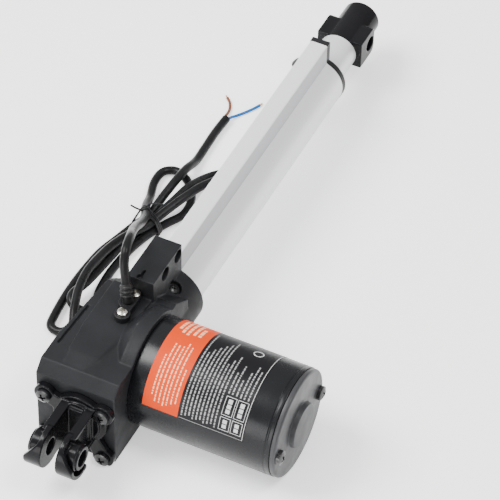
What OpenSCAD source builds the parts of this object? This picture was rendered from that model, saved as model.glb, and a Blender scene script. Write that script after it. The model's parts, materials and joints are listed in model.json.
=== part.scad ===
// Electric linear actuator: a worm-driven lead screw pushes a rod out of an extruded tube.
// The screw axis is X, pointing at the rod end. Z is up, and the motor lies along -Y.
// The origin is the centre of the rear pin hole. All sizes are in millimetres.

/* [Travel] */
// Travel of the rod from retracted to extended
stroke = 250; // [210:10:300]
// Distance from the rear pin hole to the front pin hole, less the travel
dead_length = 162; // [162:1:170]

/* [Tube and rod] */
// Outer diameter of the round part of the tube
tube_d = 37.3; // [37.2:0.1:38]
// Wall of the tube
tube_wall = 2.6; // [2.5:0.1:2.6]
// Width of the switch channel on top of the tube
ridge_w = 12.2; // [12:0.1:14]
// Height of the top of the switch channel above the screw axis
ridge_top = 33; // [33:0.5:35]
// Outer diameter of the sliding rod
rod_d = 26; // [25.8:0.1:26]
// Bore of the sliding rod
rod_bore = 21; // [20.8:0.1:21]

/* [Pin joints] */
// Diameter of the pin holes at both ends
pin_hole_d = 10.5; // [10:0.1:11]
// Width across the clevis, and across the rod end
joint_w = 32.8; // [32:0.2:33]
// Width of the slot between the clevis ears
slot_w = 10; // [10:0.5:12]
// Outer radius of the clevis ears
ear_r = 14; // [13:0.5:14.5]
// Half the height of the pads beside the front pin hole
rod_pad_h = 10.4; // [10:0.2:11]

/* [Gearbox] */
// Distance from the rear pin hole to the rear face of the gearbox
box_back = 30.7; // [30.5:0.1:31]
// Height of the flat top of the gearbox above the screw axis
box_top = 29; // [28.8:0.1:29.5]
// Depth of the underside below the screw axis
box_bottom = 33.3; // [33.2:0.1:35]
// Radius of the neck that holds the tube
neck_r = 23.7; // [23.6:0.1:25]
// Height of the top of the neck above the screw axis
neck_top = 45; // [42:0.5:47]

/* [Motor] */
// Diameter of the motor can
motor_d = 69.8; // [69:0.2:70]
// Distance along X from the rear pin hole to the motor axis
motor_x = 80.7; // [80.5:0.1:81]
// Distance from the screw axis to the outer face of the motor
motor_end = 119.7; // [117:0.1:122]

/* [Gears] */
// Teeth on the motor pinion
pinion_teeth = 10; // [10:1:10]
// Teeth on the gear that the pinion drives
gear_teeth = 27; // [27:1:27]
// Teeth on the worm wheel
wheel_teeth = 22; // [22:1:22]
// Travel of the nut for each turn of the screw
screw_lead = 5; // [4:0.5:6]

/* [Cable] */
// Diameter of the cable sheath
cable_d = 5.8; // [5.6:0.1:5.8]
// Diameter of each insulated core
core_d = 2; // [1.6:0.1:2]

/* [Hidden] */

$fn = 96;
cut = 1;            // how far a cutting solid runs past the face it cuts
fit = 0.05;         // radial gap of a running fit
gap = 0.4;          // gap between neighbours that move past each other

front_hole = stroke + dead_length;
tube_r = tube_d / 2;
tube_inner = tube_r - tube_wall;
rod_r = rod_d / 2;
neck_back = 107;    // rear end of the neck's raised channel
neck_front = 145.3;
tube_back = 110;
cap_front = front_hole - 45.4;
cap_t = 4;
tube_front = cap_front - cap_t;
box_left = 31.2;    // +Y side of the gearbox
box_right = -21.6;  // -Y side of the gearbox, where the motor is fixed

// Gear train: pinion and gear set the worm above the motor, and the worm drives the wheel
spur_module = 1;
wheel_module = 1.25;
motor_z = 1.7;
worm_z = motor_z + spur_module * (pinion_teeth + gear_teeth) / 2;
wheel_r = wheel_module * wheel_teeth / 2;
worm_r = worm_z - wheel_r;
worm_lead = PI * wheel_module;
worm_angle = atan(worm_lead / (2 * PI * worm_r));
gear_from = -21.2;  // Y of the motor side of the spur gears
gear_w = 5;
wheel_w = 12;

/* ---------- shared shapes ---------- */

// Cylinder along X, from x0 to x1
module cyl_x(r, x0, x1) {
    translate([x0, 0, 0]) rotate([0, 90, 0]) cylinder(r = r, h = x1 - x0);
}

// Cylinder along Y, from y0 to y1, about the line at (x, z)
module cyl_y(r, y0, y1, x = 0, z = 0) {
    translate([x, y0, z]) rotate([-90, 0, 0]) cylinder(r = r, h = y1 - y0);
}

// Ring along X
module ring_x(r_in, r_out, x0, x1) {
    difference() {
        cyl_x(r_out, x0, x1);
        cyl_x(r_in, x0 - cut, x1 + cut);
    }
}

// Ring along Y about the line at (x, z)
module ring_y(r_in, r_out, y0, y1, x = 0, z = 0) {
    difference() {
        cyl_y(r_out, y0, y1, x, z);
        cyl_y(r_in, y0 - cut, y1 + cut, x, z);
    }
}

// Box from one corner to the other
module block(low, high) {
    translate(low) cube(high - low);
}

// Stands an outline drawn in (Y, Z) at x0, and extrudes it to x1
module extrude_x(x0, x1) {
    translate([x0, 0, 0]) rotate([90, 0, 90]) linear_extrude(x1 - x0) children();
}

// Round outline with a channel on top, drawn in (Y, Z)
module keyhole(r, w, top) {
    circle(r = r);
    translate([-w / 2, 0]) square([w, top]);
}

// Screw with a domed, cross-slotted head. The head stands on z = 0 and the shank points down.
module pan_screw(head_r, head_h, shank_r, shank_l) {
    difference() {
        union() {
            cylinder(r = head_r, h = head_h * 0.55);
            translate([0, 0, head_h * 0.55]) intersection() {
                scale(1) translate([0, 0, -head_r * 1.6]) sphere(r = head_r * 1.887);
                cylinder(r = head_r, h = head_h * 0.45);
            }
            translate([0, 0, -shank_l]) cylinder(r = shank_r, h = shank_l + 0.01);
        }
        for (a = [0, 90]) rotate([0, 0, a + 20])
            translate([-head_r * 0.55, -head_r * 0.13, head_h * 0.4]) cube([head_r * 1.1, head_r * 0.26, head_h]);
    }
}

// One side of an involute tooth: the point at roll angle t on a base circle of radius rb
function involute(rb, t) = [rb * (cos(t) + t * PI / 180 * sin(t)), rb * (sin(t) - t * PI / 180 * cos(t))];
function turn(p, a) = [p[0] * cos(a) - p[1] * sin(a), p[0] * sin(a) + p[1] * cos(a)];
function flip(p) = [p[0], -p[1]];

// Outline of one tooth about the +X direction, thinned by slack on each side
module tooth(m, teeth, slack, root_r) {
    pitch_r = m * teeth / 2;
    base_r = pitch_r * cos(20);
    tip_r = pitch_r + m;
    tip_roll = sqrt(pow(tip_r / base_r, 2) - 1) * 180 / PI;
    half = 90 / teeth + (tan(20) * 180 / PI - 20) - slack / pitch_r * 180 / PI;
    side = [for (i = [0:5]) turn(involute(base_r, tip_roll * i / 5), -half)];
    foot = turn([root_r - 0.5, 0], -half);
    polygon(concat([foot], side, [for (i = [5:-1:0]) flip(side[i])], [flip(foot)]));
}

// Spur gear in the XY plane with a tooth centred on +X
module spur_gear(m, teeth, slack, w) {
    root_r = m * teeth / 2 - 1.25 * m;
    linear_extrude(w) union() {
        circle(r = root_r);
        for (i = [0:teeth - 1]) rotate(i * 360 / teeth) tooth(m, teeth, slack, root_r);
    }
}

/* ---------- gearbox ---------- */

clevis_screw_yz = [[23.5, 10], [-15.3, 10], [23.5, -28], [-15.3, -28]];
clamp_screw_x = [86.2, 103.3];
clamp_lobe_r = [5, 3.6];
clamp_y = 1.8;
plateau_top = box_top + 1.6;
flange_r = 38;
bearing_r = 17.45;

// Body of the gearbox: its side outline crossed with its plan outline
module box_body() {
    intersection() {
        translate([0, box_left, 0]) rotate([90, 0, 0]) linear_extrude(box_left - box_right)
            polygon([[box_back, -box_bottom], [box_back, 22.3], [box_back + 7, box_top], [112, box_top],
                [128, 18], [128, -18], [112, -box_bottom]]);
        translate([0, 0, -box_bottom]) linear_extrude(box_bottom + box_top)
            polygon([[box_back, box_right], [128, box_right], [128, 20], [118, 25], [60, box_left],
                [box_back, box_left]]);
    }
}

// Raised land down the middle of the top, under the cable clamp
module top_land() {
    translate([0, 0, 20]) linear_extrude(plateau_top - 20)
        polygon([[50, 19], [50, 0], [72, -4.5], [112, -8], [112, 21], [72, 21]]);
}

// Round flange that the motor is bolted to, sloping down to the top of the box
module motor_flange() {
    intersection() {
        union() {
            cyl_y(flange_r, box_right, -13, motor_x, motor_z);
            translate([motor_x, -13, motor_z]) rotate([-90, 0, 0]) cylinder(r1 = flange_r, r2 = 26, h = 12);
        }
        block([box_back, box_right - cut, -box_bottom], [128, 10, 60]);
    }
}

// Neck that clamps the tube, with its raised channel
module neck() {
    cyl_x(neck_r, 100, neck_front);
    block([neck_back, -8.5, 10], [neck_front, 9.7, neck_top]);
}

module gear_cavity() {
    cyl_x(bearing_r + 0.05, box_back - cut, 66);
    cyl_x(16.4, 60, tube_back + 1);
    cyl_y(8.45, -16, 22.2, motor_x, worm_z);
    cyl_y(15.3, box_right - cut, gear_from + gear_w + gap, motor_x, worm_z);
    cyl_y(7, box_right - cut, gear_from + gear_w + gap, motor_x, motor_z);
}

module gear_housing() {
    color([0.13, 0.13, 0.14]) difference() {
        union() {
            box_body();
            top_land();
            motor_flange();
            neck();
        }
        gear_cavity();
        // Room for the motor beside the neck
        cyl_y(motor_d / 2 + 0.1, box_right - 6, box_right, motor_x, motor_z);
        // Socket for the tube
        extrude_x(tube_back, neck_front + cut) keyhole(tube_r + 0.05, ridge_w + 0.1, ridge_top + 0.05);
        // Holes of the clevis screws
        for (p = clevis_screw_yz) translate([0, p[0], p[1]]) cyl_x(2.5, box_back - cut, box_back + 15);
        // Holes of the clamp screws, and the way in for the cable
        for (x = clamp_screw_x) translate([x, clamp_y, 20]) cylinder(r = 1.6, h = 20);
        // Round holes in the side of the raised channel
        for (x = [123.1, 139.9]) cyl_y(4.4, -8.5 - cut, -3.5, x, 39.3);
        // Keyhole slot in the top of the raised channel
        translate([109.6, 2, neck_top - 3]) cylinder(r = 1.9, h = 4);
        translate([109.6, 0.6, neck_top - 3]) cube([6.4, 1.6, 4]);
        // Pockets of the neck screws
        for (s = [0, 1]) mirror([0, s, 0]) neck_screw_seat() {
            translate([0, 0, -1]) cylinder(r = 4.4, h = 12);
            translate([0, 0, -3]) cylinder(r = 1.65, h = 4);
        }
        // Groove along the left edge of the top
        translate([52, 26.6, box_top - 1.8]) rotate([0, 0, -3]) cube([36, 1.6, 4]);
    }
}

// Puts its children at the pocket on the right of the neck, with their +Z pointing outwards
module neck_screw_seat() {
    translate([131.5, 0, 0]) rotate([28, 0, 0]) translate([0, 0, neck_r - 2.4]) children();
}

module neck_screws() {
    color([0.2, 0.2, 0.21]) for (s = [0, 1]) mirror([0, s, 0]) neck_screw_seat()
        translate([0, 0, -0.98]) pan_screw(2.9, 2.2, 1.6, 1.4);
}

/* ---------- rear clevis ---------- */

clevis_back = box_back - 4.5;
ear_out = slot_w / 2 + 3.6;     // outer face of an ear's plate
rib_out = slot_w / 2 + 6;       // outer face of the ribs along the top and bottom of an ear
hub_r = 18;
lobe_r = 7;
arm_w = 11;

// Arm of the flange, from the hub out to the lobe round a screw
module clevis_arm(p) {
    d = norm(p);
    circle(r = hub_r);
    translate(p) circle(r = lobe_r);
    rotate(atan2(p[1], p[0])) translate([0, -arm_w / 2]) square([d, arm_w]);
}

// Rim round the end of an ear, widest at the bottom
module ear_rim() {
    intersection() {
        ring_y(ear_r - 2.8, ear_r, slot_w / 2, joint_w / 2);
        extrude_x(-ear_r - cut, 5) polygon([[slot_w / 2, -ear_r - cut], [joint_w / 2 + cut, -ear_r - cut],
            [joint_w / 2 + cut, -1.5], [slot_w / 2 + 1.5, 12.5], [slot_w / 2, 12.5]]);
    }
}

// One ear, on the +Y side: a plate with a rib along each edge, a rim and a stepped boss
module clevis_ear() {
    cyl_y(ear_r, slot_w / 2, ear_out);
    block([0, slot_w / 2, -ear_r + 1], [clevis_back + 1, ear_out, ear_r - 1]);
    block([1, slot_w / 2, ear_r - 4.5], [clevis_back + 1, rib_out, ear_r - 1]);
    block([1, slot_w / 2, -ear_r + 1], [clevis_back + 1, rib_out, -ear_r + 4.5]);
    ear_rim();
    cyl_y(9, slot_w / 2, joint_w / 2 - 1.5);
    cyl_y(7.8, slot_w / 2, joint_w / 2);
}

module rear_clevis() {
    color([0.05, 0.05, 0.055]) difference() {
        union() {
            extrude_x(clevis_back, box_back - 0.01) for (p = clevis_screw_yz) clevis_arm(p);
            // Round step on the flange, that the ears grow out of
            cyl_x(hub_r - 3.5, clevis_back - 2, box_back - 1);
            clevis_ear();
            mirror([0, 1, 0]) clevis_ear();
            // Web between the ears and the flange
            block([box_back - 9, 1 - rib_out, -12], [clevis_back + 1, rib_out - 1, 12]);
            // Spigot that holds the bearing
            cyl_x(bearing_r - 0.05, box_back - 1, 52);
        }
        cyl_x(11.5, box_back - 1.5, 53);
        cyl_y(pin_hole_d / 2, -joint_w, joint_w);
        for (p = clevis_screw_yz) translate([0, p[0], p[1]]) {
            cyl_x(2.6, clevis_back - 3, box_back + 13);
            // Room for the screw's head
            cyl_x(5.1, clevis_back - 9, clevis_back);
        }
        // Flat underneath, level with the gearbox
        block([clevis_back - cut, -40, -50], [box_back, 40, -box_bottom]);
    }
}

module clevis_screws() {
    color([0.07, 0.07, 0.075]) for (p = clevis_screw_yz)
        translate([clevis_back - 0.02, p[0], p[1]]) rotate([0, -90, 0]) pan_screw(4.8, 3.2, 2.4, 16);
}

/* ---------- cable clamp ---------- */

clamp_t = 4.2;

module cable_clamp() {
    color([0.06, 0.06, 0.065]) difference() {
        union() {
            block([clamp_screw_x[0], clamp_y - 3.4, plateau_top + 0.01],
                [clamp_screw_x[1], clamp_y + 3.4, plateau_top + clamp_t]);
            for (i = [0, 1]) translate([clamp_screw_x[i], clamp_y, plateau_top + 0.01])
                cylinder(r = clamp_lobe_r[i], h = clamp_t - 0.01);
            translate([96, 3.6, plateau_top + 0.01]) cylinder(r = 5.4, h = clamp_t - 0.01);
        }
        for (x = clamp_screw_x) translate([x, clamp_y, plateau_top - cut]) cylinder(r = 1.7, h = 9);
        cable_exit() translate([0, 0, -1]) cylinder(r = 3.35, h = 16);
    }
}

module clamp_screws() {
    color([0.78, 0.77, 0.72]) for (i = [0, 1])
        translate([clamp_screw_x[i], clamp_y, plateau_top + clamp_t + 0.01]) pan_screw(3.2, 2.8, 1.5, [6, 9][i]);
}

// Puts its children on the cable's way out of the clamp, with +Z along the cable
module cable_exit() {
    translate([96.6, 3.2, plateau_top + 3]) rotate([0, 20, 45]) children();
}

// Ribbed strain relief that the cable comes out of
module cable_grommet() {
    color([0.05, 0.05, 0.055]) cable_exit() difference() {
        union() {
            cylinder(r = 3.3, h = 13);
            for (z = [4.7, 7.5, 10.3]) translate([0, 0, z]) cylinder(r = 4.3, h = 1.6);
        }
        translate([0, 0, 1]) cylinder(r = cable_d / 2 + 0.02, h = 14);
    }
}

/* ---------- tube ---------- */

module outer_tube() {
    color([0.8, 0.81, 0.83]) difference() {
        extrude_x(tube_back, tube_front) keyhole(tube_r, ridge_w, ridge_top);
        cyl_x(tube_inner, tube_back - cut, tube_front + cut);
        block([tube_back - cut, -ridge_w / 2 + 2, 19], [tube_front + cut, ridge_w / 2 - 2, ridge_top - 2]);
        block([tube_back - cut, -2.5, 10], [tube_front + cut, 2.5, 20]);
    }
}

module front_cap() {
    color([0.06, 0.06, 0.065]) difference() {
        extrude_x(tube_front + 0.01, cap_front) keyhole(tube_r + 0.2, ridge_w + 0.4, ridge_top + 0.2);
        cyl_x(rod_r + 0.3, tube_front - cut, cap_front + cut);
        cyl_x(15.2, tube_front - cut, cap_front - 1.2);
    }
}

module rod_wiper() {
    color([0.1, 0.1, 0.1]) ring_x(rod_r + fit, 15.15, tube_front + 0.1, cap_front - 1.25);
}

// Round plug on the left of the tube, just behind the cap
module tube_side_plug() {
    color([0.06, 0.06, 0.065]) translate([tube_front - 5, 0, 0]) rotate([-42, 0, 0])
        translate([0, 0, tube_r - 0.02]) cylinder(r = 3.2, h = 2.6);
}

module switch_board() {
    color([0.1, 0.35, 0.2]) block([114, -3.9, 19.2], [tube_front - 3, 3.9, 20.8]);
}

module limit_switches() {
    color([0.12, 0.12, 0.13]) for (x = [118, tube_front - 20]) {
        block([x, -3.1, 20.82], [x + 12.8, 3.1, 27.5]);
        block([x + 2, -1.5, 17], [x + 4, 1.5, 19.1]);
    }
}

/* ---------- screw and its bearing ---------- */

bearing_x = [52, 64];
bearing_mid = 58;
ball_r = 3;
ball_pitch_r = 12.5;
journal_r = 7.5;
screw_r = 9;
screw_from = 89;
nut_x = [89, 96.5];
collar_front = 112;
screw_end = nut_x[0] + stroke + 30;

// Groove that the balls run in
module ball_groove() {
    translate([bearing_mid, 0, 0]) rotate([0, 90, 0]) rotate_extrude() translate([ball_pitch_r, 0])
        circle(r = ball_r + fit, $fn = 48);
}

module bearing_outer_race() {
    color([0.7, 0.71, 0.73]) difference() {
        ring_x(14, bearing_r, bearing_x[0] + 0.02, bearing_x[1]);
        ball_groove();
    }
}

module bearing_inner_race() {
    color([0.72, 0.73, 0.75]) difference() {
        ring_x(journal_r + 0.01, 11, bearing_x[0], bearing_x[1]);
        ball_groove();
    }
}

module bearing_balls() {
    color([0.85, 0.86, 0.88]) for (i = [0:8]) rotate([i * 40, 0, 0])
        translate([bearing_mid, ball_pitch_r, 0]) sphere(r = ball_r);
}

// Threaded part, drawn as rings one lead apart
module screw_thread() {
    rings = floor((screw_end - 6 - screw_from) / screw_lead);
    rotate([0, 90, 0]) rotate_extrude() polygon(concat([[0, screw_from]],
        [for (i = [0:rings - 1]) each [
            [screw_r - 1.6, screw_from + i * screw_lead],
            [screw_r - 1.6, screw_from + (i + 0.3) * screw_lead],
            [screw_r, screw_from + (i + 0.42) * screw_lead],
            [screw_r, screw_from + (i + 0.78) * screw_lead],
            [screw_r - 1.6, screw_from + (i + 0.9) * screw_lead]]],
        [[screw_r - 1.6, screw_end - 6], [5, screw_end - 6], [5, screw_end], [0, screw_end]]));
}

module lead_screw() {
    color([0.55, 0.56, 0.58]) union() {
        screw_thread();
        cyl_x(journal_r, 44, screw_from + 0.01);
        cyl_x(9.9, bearing_x[1] + 0.01, motor_x - wheel_w / 2 - 0.01);
    }
}

module screw_nut() {
    color([0.6, 0.61, 0.62]) difference() {
        extrude_x(45, bearing_x[0] - 0.01) circle(r = 10.9, $fn = 6);
        cyl_x(journal_r + 0.01, 40, 60);
    }
}

module screw_guide() {
    color([0.9, 0.9, 0.86]) ring_x(5.01, rod_bore / 2 - fit, screw_end - 5.9, screw_end);
}

// Wheel on the screw. Its teeth lean by the worm's lead angle.
module worm_wheel() {
    root_r = wheel_r - 1.25 * wheel_module;
    lean = wheel_w * tan(worm_angle) / wheel_r * 180 / PI;
    color([0.85, 0.68, 0.35]) difference() {
        translate([motor_x, 0, 0]) rotate([0, 90, 0]) rotate(180 + 180 / wheel_teeth)
            linear_extrude(wheel_w, center = true, twist = -lean, slices = 3) union() {
                circle(r = root_r, $fn = 66);
                for (i = [0:wheel_teeth - 1]) rotate(i * 360 / wheel_teeth)
                    tooth(wheel_module, wheel_teeth, 0.15, root_r);
            }
        cyl_x(journal_r + 0.01, motor_x - wheel_w, motor_x + wheel_w);
    }
}

/* ---------- worm ---------- */

worm_len = 19;
worm_shaft_r = 3;

// Thread of the worm, along Z, as one swept strip
module worm_thread() {
    steps = 20;
    turns = worm_len / worm_lead;
    count = floor(steps * turns);
    half_root = worm_lead / 4 + 0.30;
    half_tip = worm_lead / 4 - 0.62;
    root_r = worm_r - 1.25 * wheel_module;
    tip_r = worm_r + wheel_module;
    function ring(i) = let (a = 360 * i / steps, z = worm_lead * i / steps - worm_len / 2)
        [for (p = [[root_r - 0.4, -half_root], [tip_r, -half_tip], [tip_r, half_tip], [root_r - 0.4, half_root]])
            [p[0] * cos(a), p[0] * sin(a), z + p[1]]];
    polyhedron(
        points = [for (i = [0:count]) each ring(i)],
        faces = concat([[3, 2, 1, 0]],
            [for (i = [0:count - 1], k = [0:3]) let (a = 4 * i + k, b = 4 * i + (k + 1) % 4)
                each [[a, b, b + 4], [a, b + 4, a + 4]]],
            [[4 * count, 4 * count + 1, 4 * count + 2, 4 * count + 3]]));
}

module worm() {
    color([0.5, 0.51, 0.53]) translate([motor_x, 0, worm_z]) rotate([-90, 0, 0]) union() {
        worm_thread();
        translate([0, 0, -worm_len / 2]) cylinder(r = worm_r - 1.25 * wheel_module, h = worm_len);
        translate([0, 0, gear_from]) cylinder(r = worm_shaft_r, h = 21.5 - gear_from);
    }
}

module worm_bushes() {
    color([0.75, 0.58, 0.3]) for (y = [[-15.6, -11.2], [13, 22]])
        ring_y(worm_shaft_r + fit, 8.42, y[0], y[1], motor_x, worm_z);
}

module worm_gear() {
    color([0.88, 0.87, 0.8]) difference() {
        translate([motor_x, gear_from, worm_z]) rotate([-90, 90 + 180 / gear_teeth, 0])
            spur_gear(spur_module, gear_teeth, 0.06, gear_w);
        cyl_y(worm_shaft_r + 0.01, gear_from - cut, gear_from + gear_w + cut, motor_x, worm_z);
    }
}

/* ---------- motor ---------- */

motor_r = motor_d / 2;
can_wall = 2;
can_back = motor_end - 3.6;
motor_shaft_r = 3;

module along_motor() {
    translate([motor_x, 0, motor_z]) rotate([90, 0, 0]) children();
}

module motor_can() {
    color([0.08, 0.08, 0.09]) ring_y(motor_r - can_wall, motor_r, -can_back, box_right - 0.02, motor_x, motor_z);
}

module motor_front_plate() {
    color([0.6, 0.6, 0.62]) difference() {
        cyl_y(motor_r - can_wall - 0.02, box_right - 4, box_right - 0.5, motor_x, motor_z);
        cyl_y(motor_shaft_r + fit, -30, -20, motor_x, motor_z);
    }
}

module motor_magnets() {
    color([0.2, 0.2, 0.22]) for (s = [-1, 1]) intersection() {
        ring_y(26.6, motor_r - can_wall - 0.02, -98, -42, motor_x, motor_z);
        translate([motor_x + s * 26, -70, motor_z]) cube([38, 60, 52], center = true);
    }
}

module brush_plate() {
    color([0.35, 0.25, 0.16]) difference() {
        cyl_y(motor_r - can_wall - 0.02, -104, -102, motor_x, motor_z);
        cyl_y(13, -105, -101, motor_x, motor_z);
    }
}

module brushes() {
    color([0.15, 0.15, 0.15]) for (s = [-1, 1]) translate([motor_x + s * 14.3, -107.03, motor_z])
        cube([9, 6, 6], center = true);
}

module motor_end_cap() {
    color([0.2, 0.2, 0.21]) difference() {
        along_motor() rotate_extrude() polygon([[0, can_back - 3], [motor_r - can_wall - 0.05, can_back - 3],
            [motor_r - can_wall - 0.05, can_back + 0.02], [motor_r - 0.3, can_back + 0.02],
            [motor_r - 0.3, motor_end - 0.8], [motor_r - 1.1, motor_end], [14.8, motor_end],
            [14.4, motor_end + 3.4], [0, motor_end + 3.4]]);
        cyl_y(6, -can_back - 1.6, -can_back + 4, motor_x, motor_z);
        for (s = [-1, 1]) cyl_y(2.1, -motor_end - cut, -can_back + 4, motor_x + s * 28.5, motor_z);
    }
}

module motor_rear_bush() {
    color([0.75, 0.58, 0.3]) ring_y(motor_shaft_r + fit, 5.98, -can_back - 1.55, -can_back + 4, motor_x, motor_z);
}

module motor_end_screws() {
    color([0.25, 0.25, 0.27]) for (s = [-1, 1]) translate([motor_x + s * 28.5, -motor_end - 0.01, motor_z])
        rotate([90, 0, 0]) pan_screw(4.6, 4.2, 2, 8);
}

// Printed label, wrapped round the top and rear of the can
module motor_label() {
    color([0.95, 0.45, 0.22]) along_motor() rotate([0, 0, -13]) translate([0, 0, 31.5])
        rotate_extrude(angle = 180) translate([motor_r + 0.01, 0]) square([0.2, 67.2]);
}

module motor_shaft() {
    color([0.65, 0.66, 0.68]) cyl_y(motor_shaft_r, -can_back - 1, gear_from + gear_w, motor_x, motor_z);
}

module motor_pinion() {
    color([0.7, 0.7, 0.72]) difference() {
        translate([motor_x, gear_from, motor_z]) rotate([-90, -90, 0])
            spur_gear(spur_module, pinion_teeth, 0.06, gear_w);
        cyl_y(motor_shaft_r + 0.01, gear_from - cut, gear_from + gear_w + cut, motor_x, motor_z);
    }
}

// Slotted stack of the armature
module armature_core() {
    color([0.45, 0.46, 0.48]) along_motor() translate([0, 0, 46]) linear_extrude(48) difference() {
        circle(r = 25.6);
        circle(r = motor_shaft_r + 0.01);
        for (i = [0:11]) rotate(i * 30) translate([14, -2.5]) square([9, 5]);
        for (i = [0:11]) rotate(i * 30) translate([20, -1]) square([7, 2]);
    }
}

module armature_winding() {
    color([0.72, 0.4, 0.2]) for (y = [[-45.98, -36], [-101, -94.02]])
        ring_y(10, 23, y[0], y[1], motor_x, motor_z);
}

module commutator() {
    color([0.8, 0.5, 0.3]) ring_y(motor_shaft_r + 0.01, 9.4, -111, -94.02, motor_x, motor_z);
}

/* ---------- rod ---------- */

module inner_tube() {
    color([0.86, 0.87, 0.88]) ring_x(rod_bore / 2, rod_r, nut_x[1], front_hole - 16);
}

module drive_nut() {
    color([0.85, 0.75, 0.5]) difference() {
        union() {
            cyl_x(tube_inner - 0.3, nut_x[0] + 0.3, nut_x[1] - 0.02);
            cyl_x(rod_bore / 2 - 0.02, nut_x[1] - 0.03, nut_x[1] + 16);
        }
        cyl_x(screw_r + fit, nut_x[0] - cut, nut_x[1] + 20);
    }
}

module guide_collar() {
    color([0.92, 0.92, 0.9]) ring_x(rod_r + 0.02, tube_inner - 0.1, nut_x[1], collar_front);
}

module rod_end() {
    end_from = front_hole - 17.3;
    end_to = front_hole + 23.4;
    color([0.07, 0.07, 0.075]) difference() {
        union() {
            cyl_x(rod_r - 0.05, end_from, end_to - 1.4);
            translate([end_to - 1.4, 0, 0]) rotate([0, 90, 0]) cylinder(r1 = rod_r - 0.05, r2 = rod_r - 1.3, h = 1.4);
            // Square pads on both sides of the pin hole, rounded at the front
            block([front_hole - 15, -joint_w / 2, -rod_pad_h], [front_hole + 2, joint_w / 2, rod_pad_h]);
            block([front_hole, -joint_w / 2, 5 - rod_pad_h], [front_hole + 7, joint_w / 2, rod_pad_h - 5]);
            for (s = [-1, 1]) cyl_y(5, -joint_w / 2, joint_w / 2, front_hole + 2, s * (rod_pad_h - 5));
            cyl_x(rod_bore / 2 - 0.02, screw_end + 1, end_from + cut);
        }
        cyl_y(pin_hole_d / 2, -joint_w, joint_w, front_hole);
        ring_x(rod_bore / 2 - 0.02, 30, front_hole - 18, front_hole - 15.98);
    }
}

/* ---------- cable ---------- */

// Middle line of the cable: out of the grommet, over the shoulder of the gearbox and down to the
// ground beside the tube, then folded into two pairs of loops that cross at the tie
cable_route = [
    [99, 5.5, 43], [101, 7.5, 51], [104, 9.5, 58.5], [109, 11, 63.5], [116, 13, 64], [124, 15.5, 61],
    [135.5, 20.5, 52], [147, 25, 42.5], [157.5, 29.5, 32.5], [168, 33.5, 22.5], [178.5, 38, 12],
    [189.5, 42.5, 1.5], [200.5, 47, -8], [212.5, 52, -16], [225, 58, -22.5], [238.5, 62, -28.5],
    [253, 66.5, -30], [263.5, 66.5, -30], [268.5, 62, -30], [269, 55.5, -30], [262.5, 45.5, -30],
    [250, 37.5, -30], [235.5, 36, -30], [223, 42, -30], [210, 47.5, -30], [195, 51.5, -30],
    [179.5, 53.5, -30], [164.5, 54, -30], [149, 52.5, -30], [136.5, 49, -30], [130.5, 51, -29.5],
    [128, 56.5, -27.5], [130, 62, -25.5], [136, 64, -24.5], [147.5, 61, -24.5], [162.5, 59, -24.5],
    [178, 58, -25.5], [193, 58, -28], [208, 54.5, -30], [223, 50.5, -28.5], [237, 45.5, -25],
    [252, 41.5, -23], [265, 39, -26.5], [275.5, 36, -30], [279.5, 31.5, -29.5], [279, 26, -26.5],
    [274.5, 23, -23.5], [267, 25.5, -20.5], [253.5, 32, -18.5], [239, 37.5, -18.5], [225, 43.5, -21],
    [211, 49.5, -24], [197, 55.5, -22.5], [182.5, 59.5, -20.5], [167.5, 61.5, -19], [152, 62, -18],
    [136.5, 60, -19], [122, 55.5, -22], [113, 52, -25.5], [108, 55, -28.5], [107, 60.5, -30],
    [110, 66, -30], [119.5, 68, -30], [135, 69.5, -30], [150.5, 70, -30], [165.5, 69.5, -30],
    [181, 68, -30], [196, 64, -30], [211, 60, -30], [226, 55.5, -30], [240.5, 53.5, -26],
    [255.5, 51.5, -23], [269.5, 51, -24.5], [284, 51, -29.5], [299, 51.5, -30], [314.5, 52, -30],
    [330, 51.5, -30]];
brown_route = [[330.2, 53, -30], [336, 54, -31], [342, 55, -32], [348, 58, -32], [353, 63, -32]];
blue_route = [[330.2, 50.8, -30], [336, 48, -31], [343, 44, -32], [350, 40, -32], [357, 37, -32]];

function unit(v) = v / norm(v);

// Round tube with a ring of points at every point of a route
module swept_tube(route, r, sides) {
    n = len(route);
    function along(i) = unit(route[min(i + 1, n - 1)] - route[max(i - 1, 0)]);
    function ring(i) = let (t = along(i), s = unit(cross([0.05, 0.02, 1], t)), u = cross(t, s))
        [for (k = [0:sides - 1]) route[i] + r * (cos(360 * k / sides) * s + sin(360 * k / sides) * u)];
    polyhedron(
        points = [for (i = [0:n - 1]) each ring(i)],
        faces = concat([[for (k = [sides - 1:-1:0]) k]],
            [for (i = [0:n - 2], k = [0:sides - 1]) let (a = i * sides + k, b = i * sides + (k + 1) % sides)
                each [[a, b, b + sides], [a, b + sides, a + sides]]],
            [[for (k = [0:sides - 1]) (n - 1) * sides + k]]));
}

module cable() {
    color([0.09, 0.09, 0.09]) swept_tube(cable_route, cable_d / 2, 8);
}

module core_brown() {
    color([0.45, 0.25, 0.15]) swept_tube(brown_route, core_d / 2, 8);
}

module core_blue() {
    color([0.1, 0.45, 0.75]) swept_tube(blue_route, core_d / 2, 8);
}

// Outline of the bundle at the tie, in (Y, Z), grown by t
module bundle(t) {
    hull() for (p = [[44.2, -29.9], [59.7, -29.9], [54.6, -18.2], [52, -15.9], [46.4, -22.6]])
        translate(p) circle(r = cable_d / 2 + t, $fn = 24);
}

// Tie round the five strands
module cable_tie() {
    color([0.05, 0.05, 0.05]) extrude_x(212.5, 217.5) difference() {
        bundle(0.75);
        bundle(0.35);
    }
}

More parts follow.
